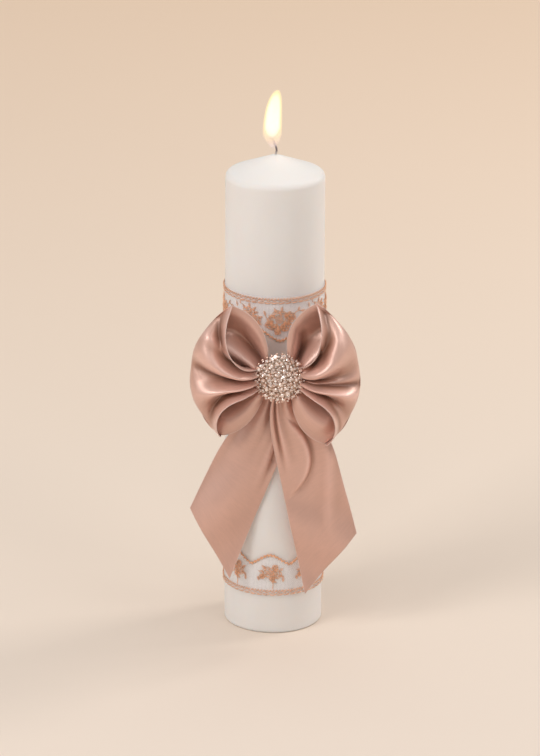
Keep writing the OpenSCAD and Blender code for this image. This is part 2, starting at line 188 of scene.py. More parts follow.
# %% Shared node groups
def make_uneven_tone():
    group, given, out = new_group(
        "uneven_tone",
        [("Colour", "NodeSocketColor", (1, 1, 1, 1)), ("Place", "NodeSocketVector", None),
         ("Scale", "NodeSocketFloat", 60.0), ("Amount", "NodeSocketFloat", 0.1)],
        [("Colour", "NodeSocketColor"), ("Mask", "NodeSocketFloat")])
    noise = new_node(group, "ShaderNodeTexNoise",
                     {"Vector": given.outputs["Place"], "Scale": given.outputs["Scale"], "Detail": 4.0})
    swing = math_node(group, "SUBTRACT", noise.outputs[0], 0.5)
    factor = math_node(group, "MULTIPLY_ADD", swing, given.outputs["Amount"], 1.0)
    scaled = new_node(group, "ShaderNodeVectorMath", {0: given.outputs["Colour"], "Scale": factor},
                      operation="SCALE")
    group.links.new(scaled.outputs[0], out.inputs["Colour"])
    group.links.new(noise.outputs[0], out.inputs["Mask"])
    return group


def make_fine_grain():
    group, given, out = new_group(
        "fine_grain",
        [("Place", "NodeSocketVector", None), ("Scale", "NodeSocketFloat", 900.0),
         ("Strength", "NodeSocketFloat", 0.2), ("Height", "NodeSocketFloat", 0.0001)],
        [("Normal", "NodeSocketVector")])
    noise = new_node(group, "ShaderNodeTexNoise",
                     {"Vector": given.outputs["Place"], "Scale": given.outputs["Scale"], "Detail": 3.0})
    bump = new_node(group, "ShaderNodeBump",
                    {"Strength": given.outputs["Strength"], "Distance": given.outputs["Height"],
                     "Height": noise.outputs[0]})
    group.links.new(bump.outputs[0], out.inputs["Normal"])
    return group


def add_tone_and_grain(tree, shader, colour, tone, grain, place=None):
    """Puts both effects on a finish and returns the tone's mask, which can drive the roughness.

    colour is (r, g, b) or a socket, tone is (scale, amount) and grain is (scale, strength, height).
    """
    if place is None:
        place = object_place(tree)
    start = colour if isinstance(colour, bpy.types.NodeSocket) else (*colour, 1)
    drift = use_group(tree, UNEVEN_TONE, Colour=start, Place=place, Scale=tone[0], Amount=tone[1])
    tree.links.new(drift.outputs["Colour"], shader.inputs["Base Color"])
    bumps = use_group(tree, FINE_GRAIN, Place=place, Scale=grain[0], Strength=grain[1], Height=grain[2])
    tree.links.new(bumps.outputs["Normal"], shader.inputs["Normal"])
    return drift.outputs["Mask"]


UNEVEN_TONE = make_uneven_tone()
FINE_GRAIN = make_fine_grain()
print("node groups", UNEVEN_TONE.name, FINE_GRAIN.name)

# %% [markdown]
# ## Satin
# Satin is woven so that the warp threads float on the face. They all run one way, which draws a highlight
# out into a long soft band across them. The shader's anisotropy does the same, and a very fine pattern of
# thread lines along the cloth's own map breaks the shine up close.
#
# The cloth carries a number called *hollow*, which says how deep in a fold each point lies. A colour ramp
# reads it as painted shade, darker in the folds, and as a painted highlight, lighter on the ridges. It is
# painted into the colour, so it stays whatever the lamps do.

# %% Satin material
SATIN_COLOUR = (0.69, 0.415, 0.33)
# painted highlight: the edge thread is paler than the satin, for light caught along the ribbon's edge
HEM_HIGHLIGHT_COLOUR = (0.74, 0.52, 0.45)
# painted shade and highlight: colour factors from a ridge (lighter) to a deep fold (darker)
PAINTED_FOLD_SHADE_AND_HIGHLIGHT = [(0.0, (1.26, 1.32, 1.40)), (0.4, (1.0, 1.0, 1.0)), (0.7, (0.74, 0.67, 0.62)),
              (1.0, (0.42, 0.33, 0.28))]


def make_satin():
    material, tree, shader = new_material(
        "satin", Anisotropic=0.5, Sheen_Weight=0.35, Sheen_Roughness=0.35, Specular_IOR_Level=1.0,
        Metallic=0.3, Coat_Weight=0.3, Coat_Roughness=0.36)
    shader.inputs["Sheen Tint"].default_value = (1.0, 0.86, 0.82, 1.0)
    cloth_map = new_node(tree, "ShaderNodeUVMap", uv_map="cut").outputs[0]
    grain_way = new_node(tree, "ShaderNodeTangent", direction_type="UV_MAP", uv_map="cut")
    tree.links.new(grain_way.outputs[0], shader.inputs["Tangent"])
    tone = use_group(tree, UNEVEN_TONE, Colour=(*SATIN_COLOUR, 1), Place=object_place(tree), Scale=45.0,
                     Amount=0.16)
    threads = new_node(tree, "ShaderNodeTexWave", {"Vector": cloth_map, "Scale": 160.0, "Distortion": 1.2,
                                                   "Detail": 2.0, "Detail Scale": 3.0},
                       wave_type="BANDS", bands_direction="Y")
    picks = new_node(tree, "ShaderNodeTexWave", {"Vector": cloth_map, "Scale": 90.0, "Distortion": 2.0},
                     wave_type="BANDS", bands_direction="X")
    weave = math_node(tree, "MULTIPLY_ADD", picks.outputs[1], 0.25, threads.outputs[1])
    fleck = math_node(tree, "MULTIPLY_ADD", weave, 0.09, 0.93)
    # painted shade and highlight: the hollow number darkens the satin in its folds and lightens it on ridges
    hollow = new_node(tree, "ShaderNodeAttribute", attribute_name="hollow").outputs["Fac"]
    depth = ramp_node(tree, math_node(tree, "MULTIPLY_ADD", hollow, 0.11, 0.38), PAINTED_FOLD_SHADE_AND_HIGHLIGHT)
    stretched = new_node(tree, "ShaderNodeMapping", {"Vector": cloth_map, "Scale": (5.0, 70.0, 1.0)})
    slub = use_group(tree, UNEVEN_TONE, Colour=tone.outputs["Colour"], Place=stretched.outputs[0], Scale=1.0,
                     Amount=0.16)
    with_painted_fold_shade = mix_colour(tree, 1.0, slub.outputs["Colour"], depth, "MULTIPLY")
    colour = new_node(tree, "ShaderNodeVectorMath", {0: with_painted_fold_shade, "Scale": fleck}, operation="SCALE")
    tree.links.new(colour.outputs[0], shader.inputs["Base Color"])
    rough = math_node(tree, "MULTIPLY_ADD", tone.outputs["Mask"], 0.12, 0.31)
    tree.links.new(rough, shader.inputs["Roughness"])
    bump = new_node(tree, "ShaderNodeBump", {"Strength": 0.12, "Distance": 0.00006, "Height": weave})
    tree.links.new(bump.outputs[0], shader.inputs["Normal"])
    return material


def make_hem():
    """The ribbon's edge thread: the same yarn, painted paler as a highlight where the edge catches the light,
    and without the long shine.
    """
    material, tree, shader = new_material("selvedge", Roughness=0.4, Sheen_Weight=0.3, Specular_IOR_Level=0.8)
    add_tone_and_grain(tree, shader, HEM_HIGHLIGHT_COLOUR, (500.0, 0.25), (2200.0, 0.4, 0.00008))
    return material


SATIN = make_satin()
HEM = make_hem()
print("materials", SATIN.name, HEM.name)

# %% [markdown]
# ## A grid of cloth that follows a rule
# A bow is flat ribbon before it is folded. Each piece of satin starts as a flat grid, one way along the
# ribbon and the other way across it, and a rule then says where each point goes. The grid keeps the flat
# map of the ribbon, so the weave bends with the cloth. Solidify gives it the thickness of satin.

# %% Cloth helpers
SATIN_THICK = 0.3 * MM


def finish_piece(name, mesh, material):
    """Makes an object of a mesh or curve, gives it its material and fixes it to the candle."""
    piece = bpy.data.objects.new(name, mesh)
    bpy.context.collection.objects.link(piece)
    mesh.materials.append(material)
    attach(piece, "root")
    return piece


def mesh_from(bm, name, smooth=True):
    for face in bm.faces:
        face.smooth = smooth
    mesh = bpy.data.meshes.new(name)
    bm.to_mesh(mesh)
    bm.free()
    return mesh


def hollow_at(place, x, y, step):
    """How far a point lies behind the cloth on both sides of it, in millimetres; on a ridge it is below 0."""
    here, total = place(x, y).y, 0.0
    for reach in (0.5, 1.0):
        dx, dy = step[0] * reach, step[1] * reach
        before = place(max(-1, x - dx), max(-1, y - dy)).y
        after = place(min(1, x + dx), min(1, y + dy)).y
        total += here - (before + after) / 2
    return total / MM


def cloth_piece(name, place, along, across, material=None, thickness=SATIN_THICK, step=None,
                shade=lambda x: 1.0):
    """Cloth from a grid; place turns a point's two shares, each from -1 to 1, into a point in metres.

    step is a move across the folds: with it, the piece remembers how deep in a fold each point lies,
    which the satin paints as shade in the folds and as a highlight on the ridges.
    shade scales that painted shade and highlight down for parts of the cloth.
    """
    bm = bmesh.new()
    bm.loops.layers.uv.new("cut")
    layer = bm.verts.layers.float.new("hollow") if step else None
    bmesh.ops.create_grid(bm, x_segments=along, y_segments=across, size=1.0, calc_uvs=True)
    for vert in bm.verts:
        x, y = vert.co.x, vert.co.y
        if step:
            vert[layer] = hollow_at(place, x, y, step) * shade(x)
        vert.co = place(x, y)
    mesh = mesh_from(bm, name)
    piece = finish_piece(name, mesh, material or SATIN)
    if thickness:
        solid = piece.modifiers.new("thickness", "SOLIDIFY")
        solid.thickness = thickness
        solid.offset = 0
    return piece


def thread_piece(name, lines, radius, material, sides=1):
    """Threads or cords as one curve object; each line is a list of points in metres."""
    curve = bpy.data.curves.new(name, "CURVE")
    curve.dimensions = "3D"
    curve.bevel_depth = radius
    curve.bevel_resolution = sides
    curve.use_fill_caps = True
    for line in lines:
        spline = curve.splines.new("POLY")
        spline.points.add(len(line) - 1)
        spline.points.foreach_set("co", [c for p in line for c in (*p, 1.0)])
        spline.use_smooth = True
    return finish_piece(name, curve, material)


def mix(a, b, k):
    return a + (b - a) * k


def smooth_step(low, high, x):
    k = min(1.0, max(0.0, (x - low) / (high - low)))
    return k * k * (3 - 2 * k)

# %% [markdown]
# ## The two loops of the bow
# Each loop is ribbon about 100 mm wide. It is pinched to almost nothing at the middle of the bow and opens
# like a fan, widest about halfway out. The rule below is written the way the fan is: *reach* is how far
# out a point is, *turn* is its angle from level, and the depth towards the viewer comes from the belly of
# the loop plus its pleats. The pleats are deep near the pinch and fade to nothing at the fold.
#
# Real satin keeps its whole width at the pinch, in creases too fine to model here, so this loop has only
# about three quarters of the cloth of a real one. No cloth simulation is used: the rule puts each fold at
# a known place and keeps the mouths open.

# %% The loops' rule
BOW_Z = 171.5
LOOP_PINCH_Y = -40.0
LOOP_LEAN = 4.5
LOOP_FRONT = 25.0
LOOP_BACK = 11.0
PINCH_HALF = 5.0
LOOP_END = 87.0
FRONT_PLEAT = 6.8
BACK_PLEAT = 4.8
LOW_CURL, HIGH_CURL = 20.0, 11.0
# share of the painted fold shade and highlight that the back layer of each loop keeps
BACK_SHADE = 0.35


class Loop:
    """Measures of one loop in millimetres and degrees; side is -1 for the left and 1 for the right."""

    def __init__(self, side, pinch_x, middle_turn, half_turn, reach, upper, lower, seed,
                 front_folds, back_folds):
        self.side, self.pinch_x = side, pinch_x
        self.middle_turn, self.half_turn = middle_turn, half_turn
        self.reach_low, self.reach_mid, self.reach_top = reach
        self.upper, self.lower = upper, lower
        self.seed = seed
        self.front_folds, self.back_folds = front_folds, back_folds

    def reach(self, v):
        bow = (self.reach_top + self.reach_low) / 2 - self.reach_mid
        return self.reach_mid + (self.reach_top - self.reach_low) / 2 * v + bow * v * v

    def front_close(self, s, v):
        above = self.upper[0] + (1 - self.upper[0]) * s ** self.upper[1]
        below = self.lower[0] + (1 - self.lower[0]) * s ** self.lower[1]
        return mix(below, above, smooth_step(-1, 1, v))


def front_phase(v):
    """Pleats counted across the front layer: whole numbers are ridges and halves are valleys."""
    return 2 * math.pi * (1.33 * (v + 1.03) + 0.06 * v ** 3)


def back_phase(v):
    return 2 * math.pi * 1.754 * (v + 0.76)


def extra_folds(folds, s, v):
    """Folds laid over the pleats, each (v at the pinch, v at the fold, width, height, from s, to s)."""
    total = 0.0
    for v_in, v_out, width, height, s_from, s_to in folds:
        shown = smooth_step(s_from - 0.1, s_from + 0.1, s) * smooth_step(s_to + 0.1, s_to - 0.1, s)
        total += height * shown * math.exp(-((v - mix(v_in, v_out, s)) / width) ** 2)
    return total


def rounded_ridge(phase, sharp):
    """1 on a ridge and -1 in a valley; sharp narrows the valleys to creases."""
    soft = math.cos(phase)
    creased = 2 * math.sqrt(math.cos(phase / 2) ** 2 * 0.985 + 0.015) - 1
    return mix(soft, creased, sharp)


def loop_point(loop, a, v):
    """a runs from -90 degrees at the pinch in front, by 0 at the fold, to 90 at the pinch behind."""
    s = math.cos(math.radians(a))
    front = a < 0
    rise = math.sin(math.radians(abs(a)))
    belly = rise * mix(s, 0.74 * s ** 0.4, smooth_step(0.12, 0.4, s)) if front else rise * s
    close = loop.front_close(s, v) if front else 1 + 0.4 * (1 - s * s)
    turn = math.radians((loop.middle_turn + loop.half_turn * v) * close)
    phase = (front_phase(v) if front else back_phase(v)) + 0.5 * math.sin(2.2 * s + loop.seed)
    ridge = rounded_ridge(phase, smooth_step(0.9, 0.2, s))
    fade = (1 - s * s) ** 0.8 * min(1.0, s / 0.2)
    fine = math.cos(2 * phase + 1.3 + loop.seed) * smooth_step(0.55, 0.1, s) * min(1.0, s / 0.15)
    ripple = 0.5 * math.sin(7 * v + 3 * s + 2 * loop.seed) * s * (1 - s)
    single = extra_folds(loop.front_folds if front else loop.back_folds, s, v)
    flare = abs(v) ** 5 * belly
    curl = (HIGH_CURL if v > 0 else LOW_CURL) * abs(v) ** 3 * belly
    reach = s * loop.reach(v) * (1 + 0.008 * ridge * smooth_step(0.6, 1, s))
    depth = LOOP_PINCH_Y - LOOP_LEAN * s
    if front:
        depth -= LOOP_FRONT * belly + FRONT_PLEAT * ridge * fade + 0.8 * fine + ripple + 6 * flare + single
    else:
        depth += LOOP_BACK * belly - BACK_PLEAT * ridge * fade - curl - single
    depth -= 0.8 * ridge * s * s
    return Vector((loop.pinch_x + loop.side * reach * math.cos(turn), depth,
                   BOW_Z + v * PINCH_HALF * (1 - s) + reach * math.sin(turn))) * MM


LEFT_LOOP = Loop(-1, -3.7, 6.5, 58.5, (45.5, 46.8, 51), (0.28, 1.5), (0.22, 2.6), 0.0,
                 front_folds=[(1.36, 0.55, 0.08, 1.8, 0.55, 1.1), (0.9, 0.92, 0.05, -2.5, 0.15, 0.5),
                              (0.84, 0.86, 0.12, -3.2, 0.68, 1.02), (-0.45, -0.5, 0.05, -1.4, 0.15, 0.7),
                              (0.15, 0.13, 0.09, -2.6, 0.12, 0.98),
                              (-0.84, -0.82, 0.12, -3.6, 0.62, 0.95)],
                 back_folds=[(0.5, 0.8, 0.1, -1.5, 0.2, 0.7), (0.36, 0.42, 0.22, 4.5, 0.15, 0.75),
                             (-0.5, -0.62, 0.26, 5.0, 0.15, 0.85)])
RIGHT_LOOP = Loop(1, 10.2, 5, 68, (46.3, 41.2, 50), (0.5, 1.3), (0.22, 2.1), 1.7,
                  front_folds=[(0.35, 1.4, 0.06, -2.5, 0.15, 0.6), (-0.17, -0.11, 0.08, -4.6, 0.12, 1.0),
                               (-0.27, -0.26, 0.06, 1.2, 0.2, 0.9), (0.95, 0.92, 0.1, -4.5, 0.86, 1.05),
                               (0.7, 0.66, 0.1, 1.6, 0.6, 0.95), (-0.86, -0.86, 0.1, -3.6, 0.55, 1.0)],
                  back_folds=[(0.45, 1.06, 0.08, -3.6, 0.15, 0.62), (0.36, 0.42, 0.2, 4.0, 0.15, 0.75),
                              (-0.5, -0.62, 0.26, 5.0, 0.15, 0.85)])

# %% Make the loops
def make_loop(name, loop):
    piece = cloth_piece(name + "_satin", lambda x, y: loop_point(loop, loop.side * x * LOOP_END, y), 150, 140,
                        step=(0, 0.14), shade=lambda x: BACK_SHADE if loop.side * x > 0 else 1.0)
    edges = [[loop_point(loop, -LOOP_END + 2 * LOOP_END * i / 120, v) for i in range(121)] for v in (-1, 1)]
    hem = thread_piece(name + "_selvedge", edges, 0.26 * MM, HEM)
    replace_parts(piece, name)
    print(name, len(piece.data.polygons), "faces")


make_loop("bow_loop_left", LEFT_LOOP)
make_loop("bow_loop_right", RIGHT_LOOP)

# %% [markdown]
# ## The two tails
# The tails are narrower ribbon, gathered under the brooch and hanging straight to a slanted cut. Below the
# gathers their long edges are straight lines, which is what makes ribbon look like ribbon, so the rule
# fixes those lines and only the depth has folds.

# %% The tails' rule
class Tail:
    """Corners of a tail's cut end, its lean, and where it starts, in millimetres and degrees."""

    def __init__(self, outer, inner, leans, top_x, top_y, foot_y, folds):
        self.outer, self.inner, self.leans = outer, inner, leans
        self.top_x, self.top_y, self.foot_y = top_x, top_y, foot_y
        self.folds = folds


TAIL_TOP_Z = BOW_Z - 5.5
TAIL_SPREAD = 50.0
GATHER_W = 8.0
ON_WAX_R, ON_LACE_R, LACE_TOP_Z = 30.6, 32.0, 54.0
TUCK_X, TUCK_BEND, TUCK_DROP = 22.3, 5.6, 49.0


def tail_point(tail, t, u):
    """t runs down the tail and u from its outer edge to its inner edge, both from 0 to 1."""
    foot_x = mix(tail.outer[0], tail.inner[0], u)
    foot_z = mix(tail.outer[1], tail.inner[1], u)
    z = mix(TAIL_TOP_Z, foot_z, t)
    straight_x = foot_x + (z - foot_z) * math.tan(math.radians(mix(*tail.leans, u)))
    drop = TAIL_TOP_Z - z
    spread = 1 - (1 - min(1.0, drop / TAIL_SPREAD)) ** 2.4
    side = 1 if tail.leans[0] > 0 else -1
    x = mix(tail.top_x + (u - 0.5) * GATHER_W * side, straight_x, spread)
    depth = mix(tail.top_y, tail.foot_y, t) - tail.folds(u, drop, x)
    rest_r = ON_LACE_R if z < LACE_TOP_Z else ON_WAX_R
    depth = min(depth, -math.sqrt(max(0.0, rest_r ** 2 - x ** 2)))
    return Vector((x, depth, z)) * MM


def bump_at(u, middle, width, height):
    return height * math.exp(-((u - middle) / width) ** 2)


def left_folds(u, drop, x):
    gathers = 1.8 * rounded_ridge(2 * math.pi * (2.5 * u + 0.2), 0.7) * smooth_step(60, 6, drop)
    gathers += (bump_at(u, 0.78, 0.06, 1.6) + bump_at(u, 0.9, 0.045, -3.0)) * smooth_step(76, 30, drop)
    roll = -3.0 * math.cos(2 * math.pi * (0.85 * u + 0.12))
    roll *= smooth_step(170, 60, drop)
    roll *= smooth_step(8, 40, drop)
    return gathers + roll + 1.3 * math.sin(drop / 12 + 3 * u) * smooth_step(20, 60, drop)


def right_folds(u, drop, x):
    gathers = 2.4 * rounded_ridge(2 * math.pi * (2.5 * u + 0.55), 0.7) * smooth_step(55, 6, drop)
    gathers += (bump_at(u, 0.8, 0.07, 2.2) + bump_at(u, 0.89, 0.035, -2.2)) * smooth_step(62, 30, drop)
    bend = TUCK_X - TUCK_BEND * ((drop - TUCK_DROP) / 17) ** 2
    tuck = -2.3 * math.tanh((x - bend) / 0.9) * math.exp(-abs(x - bend) / 7)
    tuck *= smooth_step(76, 62, drop) * smooth_step(18, 34, drop)
    ridge = bump_at(x, 34, 4.0, 2.6) * smooth_step(104, 80, drop) * smooth_step(30, 50, drop)
    edge = 1.2 * bump_at(u, 0.0, 0.16, 1.0) * smooth_step(40, 90, drop)
    wave = 1.5 * math.sin(drop / 8.5 + 2.6 * u + 1.0) * smooth_step(50, 80, drop)
    return gathers + tuck + ridge - edge + wave


LEFT_TAIL = Tail((-50.6, 83.8), (-26.5, 38.4), (24.8, 21.2), 0, -33.2, -34.2, left_folds)
RIGHT_TAIL = Tail((50.6, 68.4), (19.6, 29.4), (-14.3, -11.6), 6.5, -37.4, -35.4, right_folds)

# %% Make the tails
def make_tail(name, tail):
    side = 1 if tail.leans[0] > 0 else -1

    def place(x, y):
        return tail_point(tail, (1 - y) / 2, (1 + side * x) / 2)

    piece = cloth_piece(name + "_satin", place, 90, 150, step=(0.16, 0))
    steps = 90
    rim = [tail_point(tail, i / steps, 0) for i in range(steps + 1)]
    rim += [tail_point(tail, 1, i / 24) for i in range(1, 25)]
    rim += [tail_point(tail, 1 - i / steps, 1) for i in range(1, steps + 1)]
    hem = thread_piece(name + "_edge", [rim], 0.22 * MM, HEM)
    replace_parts(piece, name)
    length = (TAIL_TOP_Z - tail.inner[1]) * MM / math.cos(math.radians(sum(tail.leans) / 2))
    print(name, round(length / MM), "mm long")


make_tail("bow_tail_left", LEFT_TAIL)
make_tail("bow_tail_right", RIGHT_TAIL)

# %% [markdown]
# ## The knot under the brooch
# The middle of a bow is a short band of ribbon drawn tight round the pinched loops, so it is a little roll
# with creases running round it. The grid is wrapped once round the roll and its radius rises and falls
# across the width.

# %% Make the knot
KNOT_Y, KNOT_R, KNOT_HALF, BOW_X = -37.0, 4.8, 5.8, 3.2


def knot_point(x, y):
    angle = math.pi * 1.03 * y
    pleats = 0.35 * math.cos(5 * math.pi * x) + 0.12 * math.cos(11 * math.pi * x + 1)
    radius = KNOT_R + pleats - 0.9 * abs(x) ** 3
    return Vector((BOW_X + KNOT_HALF * x, KNOT_Y - radius * math.cos(angle),
                   BOW_Z + radius * math.sin(angle))) * MM


knot = cloth_piece("bow_knot_satin", knot_point, 60, 90)
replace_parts(knot, "bow_knot")

# %% [markdown]
# ## Embroidery thread
# The lace is worked in a shiny rose-gold thread. Each thread is a tube so thin that its own twist has to
# come from bump. Its colour is painted strongly lighter and darker in small patches along the work, as
# painted glints and painted shade where the light would catch each stitch at its own angle.

# %% Thread and tulle materials
THREAD_COLOUR = (0.84, 0.46, 0.27)
TULLE_COLOUR = (0.93, 0.91, 0.92)


def make_thread(name, colour, metallic, roughness):
    material, tree, shader = new_material(name, Roughness=roughness, Metallic=metallic, Sheen_Weight=0.25,
                                          Specular_IOR_Level=0.7)
    place = object_place(tree)
    # painted glints and shade: this tone swings the thread colour far lighter and darker in patches under a
    # millimetre
    tone = use_group(tree, UNEVEN_TONE, Colour=(*colour, 1), Place=place, Scale=1100.0, Amount=2.0)
    add_tone_and_grain(tree, shader, tone.outputs["Colour"], (90.0, 0.3), (2600.0, 0.5, 0.0001), place)
    return material


def make_tulle():
    """Net: solid along the threads of a honeycomb and open in its holes."""
    material, tree, shader = new_material("tulle", Roughness=0.6, Sheen_Weight=0.5)
    cloth_map = new_node(tree, "ShaderNodeUVMap", uv_map="cut").outputs[0]
    stretched = new_node(tree, "ShaderNodeMapping", {"Vector": cloth_map, "Scale": (190.0, 28.0, 1.0)})
    cells = new_node(tree, "ShaderNodeTexVoronoi", {"Vector": stretched.outputs[0], "Scale": 1.25,
                                                    "Randomness": 0.45},
                     feature="DISTANCE_TO_EDGE", voronoi_dimensions="2D")
    thread = math_node(tree, "LESS_THAN", cells.outputs[0], 0.17)
    haze = math_node(tree, "MULTIPLY_ADD", thread, 0.36, 0.62)
    tone = use_group(tree, UNEVEN_TONE, Colour=(*TULLE_COLOUR, 1), Place=object_place(tree), Scale=120.0,
                     Amount=0.1)
    tree.links.new(tone.outputs["Colour"], shader.inputs["Base Color"])
    tree.links.new(haze, shader.inputs["Alpha"])
    bump = new_node(tree, "ShaderNodeBump", {"Strength": 0.3, "Distance": 0.0001, "Height": thread})
    tree.links.new(bump.outputs[0], shader.inputs["Normal"])
    return material


THREAD = make_thread("embroidery_thread", THREAD_COLOUR, 0.15, 0.34)
TULLE = make_tulle()
print("materials", THREAD.name, TULLE.name)

# %% [markdown]
# ## Working on a round surface
# All the lace is drawn flat, in millimetres, and then wrapped: across becomes an angle round the candle and
# up stays up. One function does the wrapping, so a rose is drawn once and worked anywhere.

# %% Lace helpers
STITCH_R = 0.2
STITCH_GAP = 0.66
ROW_GAP = 0.9
WORK_R = 30.55
CORD_R = 30.85
BED_PITCH, BED_TWIST = 2.8, 0.1


def on_wax(angle, z, out=WORK_R):
    turn = math.radians(angle)
    return Vector((out * math.sin(turn), -out * math.cos(turn), z)) * MM


def wrapped(middle_angle, middle_z, x, z, lift=0.0):
    return on_wax(middle_angle + math.degrees(x / WORK_R), middle_z + z, WORK_R + lift)


def bed_thread(height, out):
    """A thin thread once round the candle, twisting a little; height turns an angle into a z."""
    length = 2 * math.pi * out
    steps = int(length / BED_PITCH * 9)
    line = []
    for i in range(steps + 1):
        angle = mix(-180, 180, i / steps)
        twist = 2 * math.pi * (i / steps * round(length / BED_PITCH))
        line.append(on_wax(angle, height(angle) + BED_TWIST * math.sin(twist),
                           out + BED_TWIST * math.cos(twist)))
    return [line]


def stitch(spot, start, end, lift=0.35):
    """One satin stitch between two flat points, arched off the net; spot is (angle, z)."""
    line = []
    for k in (0, 0.25, 0.5, 0.75, 1):
        line.append(wrapped(*spot, mix(start[0], end[0], k), mix(start[1], end[1], k),
                            lift * math.sin(math.pi * k) ** 0.6))
    return line


def leaf(spot, base, direction, length, width, lift=0.35):
    """Satin stitches slanting across a pointed leaf or petal."""
    lines = []
    turn = math.radians(direction)
    along, side = (math.cos(turn), math.sin(turn)), (-math.sin(turn), math.cos(turn))
    count = max(3, int(length / STITCH_GAP))
    for i in range(count + 1):
        k = i / count
        half = width / 2 * math.sin(math.pi * min(1, 0.12 + 0.88 * k)) ** 0.7 + 0.12
        d = length * k
        slant = 0.35 * half
        ends = []
        for way in (-1, 1):
            far = d + way * slant
            ends.append([base[n] + along[n] * far + way * side[n] * half for n in (0, 1)])
        lines.append(stitch(spot, *ends, lift))
    return lines


def ring_petal(spot, centre, inner, outer, middle, half, lift):
    """A rose petal: curved rows of thread between two radii, their ends pulled in to the row below."""
    lines = []
    rows = max(1, round((outer - inner) / ROW_GAP))
    for row in range(rows):
        share = (row + 1) / rows
        line = []
        for i in range(9):
            across = i / 4 - 1
            turn = math.radians(middle + half * across * mix(0.7, 1.05, share))
            out = mix(inner, outer, share) * (1 - 0.34 * abs(across) ** 3)
            line.append(wrapped(*spot, centre[0] + out * math.cos(turn), centre[1] + out * math.sin(turn),
                                lift * (1 - 0.6 * abs(across)) + random.uniform(0, 0.12)))
        lines.append(line)
    return lines


def coil(spot, centre, radius, turns, lift=0.5):
    line = []
    steps = int(turns * 14)
    for i in range(steps + 1):
        k = i / steps
        turn = 2 * math.pi * turns * k
        line.append(wrapped(*spot, centre[0] + radius * k * math.cos(turn),
                            centre[1] + radius * k * math.sin(turn), lift * (1 - 0.5 * k)))
    return line


def rose(spot, centre, radius, first_turn=0.0, petals=5):
    """A coiled heart inside rounds of petals, the outer ones wider."""
    lines = [coil(spot, centre, 0.48 * radius, max(1.6, 0.62 * radius), 0.9)]
    for ring, (inner, outer, lift) in enumerate(((0.5, 0.74, 0.75), (0.76, 1.06, 0.5))):
        count = petals + 2 * ring - 1
        for i in range(count):
            middle = first_turn + 360 / count * (i + 0.5 * ring) + random.uniform(-8, 8)
            lines += ring_petal(spot, centre, inner * radius, outer * radius, middle, 205 / count, lift)
    return lines


def stem(spot, points, lift=0.2):
    """A bent line of stem stitch through flat points."""
    line = []
    for (x0, z0), (x1, z1) in zip(points, points[1:]):
        for k in (0, 0.34, 0.67):
            line.append(wrapped(*spot, mix(x0, x1, k), mix(z0, z1, k), lift))
    line.append(wrapped(*spot, *points[-1], lift))
    return [line]

# %% [markdown]
# ## The net and its bound edges
# Tulle wraps each band once round the candle and laps over itself a little at the back. The top band is
# straight above and scalloped below; the bottom band is the other way up. Fat stitches that all lean one
# way bind each scalloped edge, over a thin thread. The straight edge has a row of short slanting stitches
# and a row of long dashes, with crossed stitches between them.

# %% Shapes of the two bands
TOP_PHASE, TOP_STEP, TOP_TIP_Z, TOP_DEPTH = 6.7, 90.0, 190.6, 17.0
TOP_EDGE_Z, TOP_CORDS = 219.0, (217.2, 214.6)
LOW_PHASE, LOW_STEP, LOW_PEAK_Z, LOW_DEPTH = -3.5, 45.0, 52.3, 6.4
LOW_EDGE_Z, LOW_CORDS = 25.0, (25.9, 28.6)
NET_R, NET_LAP = 30.3, 9.0


def share_from_middle(angle, phase, step):
    off = (angle - phase + step / 2) % step - step / 2
    return abs(off) / (step / 2)


def top_scallop(angle):
    k = share_from_middle(angle, TOP_PHASE, TOP_STEP)
    return TOP_TIP_Z + TOP_DEPTH * (math.sqrt(k * k + 0.02) - 0.14) * (1.14 - 0.14 * k * k)


def low_scallop(angle):
    k = share_from_middle(angle, LOW_PHASE, LOW_STEP)
    return LOW_PEAK_Z - LOW_DEPTH * (k ** 1.7 + (1 - math.cos(math.pi * k)) / 2) / 2


def make_net(name, node, low_edge, high_edge):
    def place(x, y):
        angle = x * (180 + NET_LAP)
        lap = smooth_step(160, 180 + NET_LAP, angle)
        return on_wax(angle, mix(low_edge(angle), high_edge(angle), (y + 1) / 2), NET_R + 0.15 * lap)
    piece = cloth_piece(name, place, 260, 16, material=TULLE, thickness=0)
    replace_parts(piece, node)


make_net("top_lace_tulle", "top_lace_net", top_scallop, lambda angle: TOP_EDGE_Z)
make_net("bottom_lace_tulle", "bottom_lace_net", lambda angle: LOW_EDGE_Z, low_scallop)

# %% Make the cords and ladders
def slanted_stitches(height, spacing, length, slope, out=CORD_R, start=0.0):
    """Short fat stitches side by side round the candle, each leaning by slope degrees from level."""
    lines = []
    count = round(2 * math.pi * out / spacing)
    turn = math.radians(slope)
    for i in range(count):
        angle = start + 360 * i / count
        wide = math.degrees(length / 2 * math.cos(turn) / out)
        tall = length / 2 * math.sin(turn)
        line = []
        for k in (-1, -0.5, 0, 0.5, 1):
            line.append(on_wax(angle + wide * k, height(angle + wide * k) + tall * k,
                               out + 0.45 * (1 - k * k) - 0.25))
        lines.append(line)
    return lines


def make_cords(name, node, chain_z, dash_z):
    """The straight edge: a row of short slanting stitches and a row of long dashes."""
    lines = slanted_stitches(lambda angle: chain_z, 1.9, 1.6, 38)
    lines += slanted_stitches(lambda angle: dash_z, 4.2, 3.3, 4)
    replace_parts(thread_piece(name, lines, 0.27 * MM, THREAD, sides=2), node)


def make_ladder(name, node, low, high, count):
    """Crossed stitches between the two cords, like a row of narrow X shapes."""
    lines = []
    for i in range(count):
        angle = 360 * i / count
        lean = 360 / count * 0.55
        for a, b in ((-lean, lean), (lean, -lean)):
            lines.append([on_wax(angle + mix(a, b, k), mix(low, high, k),
                                 WORK_R + 0.25 * math.sin(math.pi * k)) for k in (0, 0.5, 1)])
    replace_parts(thread_piece(name, lines, 0.12 * MM, THREAD), node)


